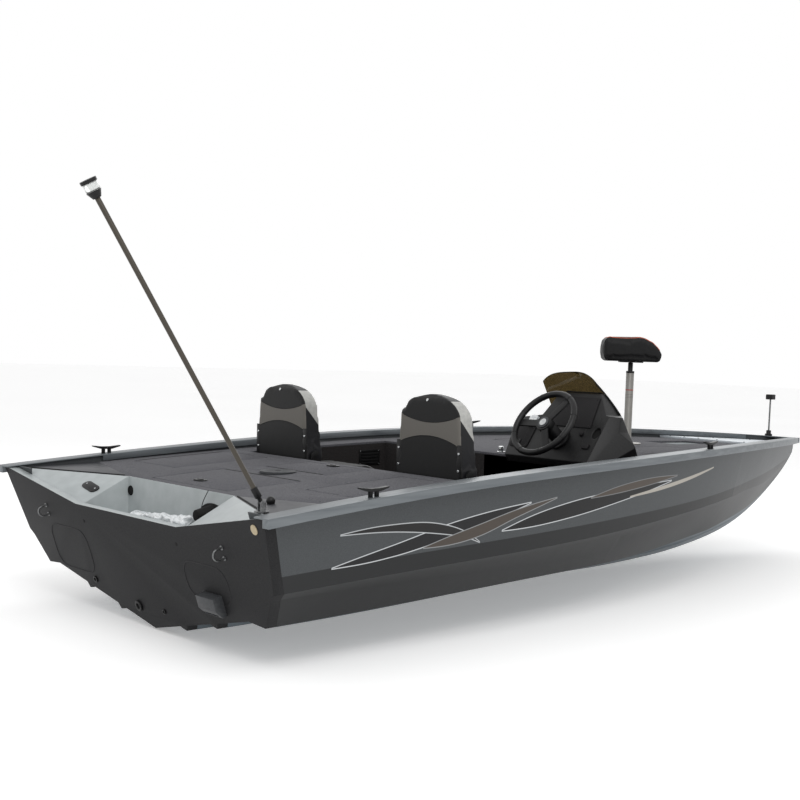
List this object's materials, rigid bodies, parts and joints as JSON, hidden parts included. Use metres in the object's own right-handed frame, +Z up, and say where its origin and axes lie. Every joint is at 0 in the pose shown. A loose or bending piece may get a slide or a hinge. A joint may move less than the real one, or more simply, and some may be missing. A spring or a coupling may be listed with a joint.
{
  "type": "bass boat",
  "caption": "Open aluminium bass boat with a vee hull, raised casting decks, starboard console, folding seats, hatches, pedestal seat and lights.",
  "frame": {"origin": "on the waterline, on the centreline, below the transom's top edge", "axes": "+X forward to the bow, +Y to port, +Z up"},
  "size_m": [5.5045, 2.1608, 1.6859],
  "materials": {
    "hull_paint": "metallic satin",
    "transom_paint": "textured matt",
    "gunwale_aluminium": "satin anodised",
    "liner_paint": "satin",
    "dark_plate": "satin",
    "marine_carpet": "short pile",
    "black_plastic": "fine grain",
    "black_vinyl": "soft satin",
    "seat_vinyl": "soft satin",
    "console_shell": "satin",
    "smoked_acrylic": "polished",
    "clear_lens": "polished",
    "chrome_trim": "polished",
    "anodised_tube": "brushed",
    "grey_plastic": "fine grain",
    "white_film": "crinkled",
    "soft_rubber": "matt"
  },
  "bodies": {
    "hull": {"hull_bottom_aft": "hull_paint", "hull_bottom_fore": "hull_paint", "hull_sides_aft": "hull_paint", "hull_sides_mid": "hull_paint", "hull_sides_fore": "hull_paint", "hull_bow": "hull_paint", "locker_tubs": "liner_paint", "hatch_hinges": "chrome_trim", "transom": "transom_paint", "splashwell": "liner_paint", "quarter_plates": "dark_plate", "gunwales": "gunwale_aluminium", "bow_cap": "gunwale_aluminium", "aft_deck": "marine_carpet", "bow_deck": "marine_carpet", "side_decks": "marine_carpet", "cockpit_walls": "marine_carpet", "cockpit_floor": "marine_carpet", "pedal_tray": "liner_paint", "bow_plates": "liner_paint", "pedestal_socket": "grey_plastic", "cleats": "black_plastic", "tie_downs": "chrome_trim", "drains": "black_plastic", "sonar_cover": "grey_plastic", "blank_disc": "grey_plastic", "quarter_fittings": "black_plastic", "rigging_boot": "soft_rubber", "wrapped_bundle": "white_film", "stern_light_base": "chrome_trim", "bow_light_base": "black_plastic", "bow_light_stem": "chrome_trim", "bow_light_head": "black_plastic", "seat_hinges": "black_plastic", "seat_cushions": "black_vinyl", "seat_bases": "marine_carpet", "console_body": "console_shell", "dash_panels": "black_plastic", "key_pouch": "white_film", "helm_column": "black_plastic", "windscreen": "smoked_acrylic", "pedestal_post": "anodised_tube", "side_grille": "black_plastic"},
    "steering_wheel": {"wheel_rim": "soft_rubber", "wheel_spokes": "black_plastic"},
    "stern_light": {"stern_light_pole": "anodised_tube", "stern_light_lamp": "clear_lens"},
    "seat_back_port": {"seat_back_port": "seat_vinyl"},
    "seat_back_starboard": {"seat_back_starboard": "seat_vinyl"},
    "pedestal_tube": {"pedestal_tube": "black_plastic"},
    "butt_seat": {"butt_seat_plate": "black_plastic", "butt_seat_pad": "black_vinyl"},
    "hatch_aft_port": {"hatch_aft_port": "marine_carpet"},
    "hatch_aft_starboard": {"hatch_aft_starboard": "marine_carpet"},
    "hatch_battery": {"hatch_battery": "marine_carpet", "latch_battery": "black_plastic"},
    "hatch_livewell": {"hatch_livewell": "marine_carpet", "latch_livewell": "black_plastic"},
    "hatch_bow_port": {"hatch_bow_port": "marine_carpet"},
    "hatch_bow_starboard": {"hatch_bow_starboard": "marine_carpet"}
  },
  "joints": [
    {"name": "hatch_aft_port_hinge", "type": "hinge", "parent": "hull", "child": "hatch_aft_port", "pos_m": [0.815, 0.8775, 0.4677], "axis": [-0.9981, 0, -0.061], "range_deg": [0, 95]},
    {"name": "hatch_aft_starboard_hinge", "type": "hinge", "parent": "hull", "child": "hatch_aft_starboard", "pos_m": [0.815, -0.8775, 0.4677], "axis": [0.9981, 0, 0.061], "range_deg": [0, 95]},
    {"name": "hatch_battery_hinge", "type": "hinge", "parent": "hull", "child": "hatch_battery", "pos_m": [0.6875, 0, 0.4604], "axis": [0, 1, 0], "range_deg": [0, 95]},
    {"name": "hatch_livewell_hinge", "type": "hinge", "parent": "hull", "child": "hatch_livewell", "pos_m": [0.8685, 0, 0.4719], "axis": [0, -1, 0], "range_deg": [0, 95]},
    {"name": "hatch_bow_port_hinge", "type": "hinge", "parent": "hull", "child": "hatch_bow_port", "pos_m": [2.925, 0.5375, 0.5378], "axis": [-1, 0, -0.0056], "range_deg": [0, 95]},
    {"name": "hatch_bow_starboard_hinge", "type": "hinge", "parent": "hull", "child": "hatch_bow_starboard", "pos_m": [2.925, -0.5375, 0.5378], "axis": [1, 0, 0.0056], "range_deg": [0, 95]},
    {"name": "stern_light_fold", "type": "hinge", "parent": "hull", "child": "stern_light", "pos_m": [0.104, -0.872, 0.4644], "axis": [0.1633, 0.9866, 0], "range_deg": [0, 106]},
    {"name": "steering", "type": "hinge", "parent": "hull", "child": "steering_wheel", "pos_m": [1.902, -0.535, 0.705], "axis": [-0.8192, 0, 0.5736], "range_deg": [-540, 540]},
    {"name": "seat_back_port_fold", "type": "hinge", "parent": "hull", "child": "seat_back_port", "pos_m": [1.216, 0.545, 0.5], "axis": [0, 1, 0], "range_deg": [0, 88]},
    {"name": "seat_back_starboard_fold", "type": "hinge", "parent": "hull", "child": "seat_back_starboard", "pos_m": [1.216, -0.545, 0.5], "axis": [0, 1, 0], "range_deg": [0, 88]},
    {"name": "pedestal_height", "type": "slide", "parent": "hull", "child": "pedestal_tube", "axis": [0, 0, 1], "range_m": [-0.044, 0.15]},
    {"name": "butt_seat_swivel", "type": "hinge", "parent": "pedestal_tube", "child": "butt_seat", "pos_m": [3.175, 0, 1.0015], "axis": [0, 0, 1], "continuous": true}
  ]
}
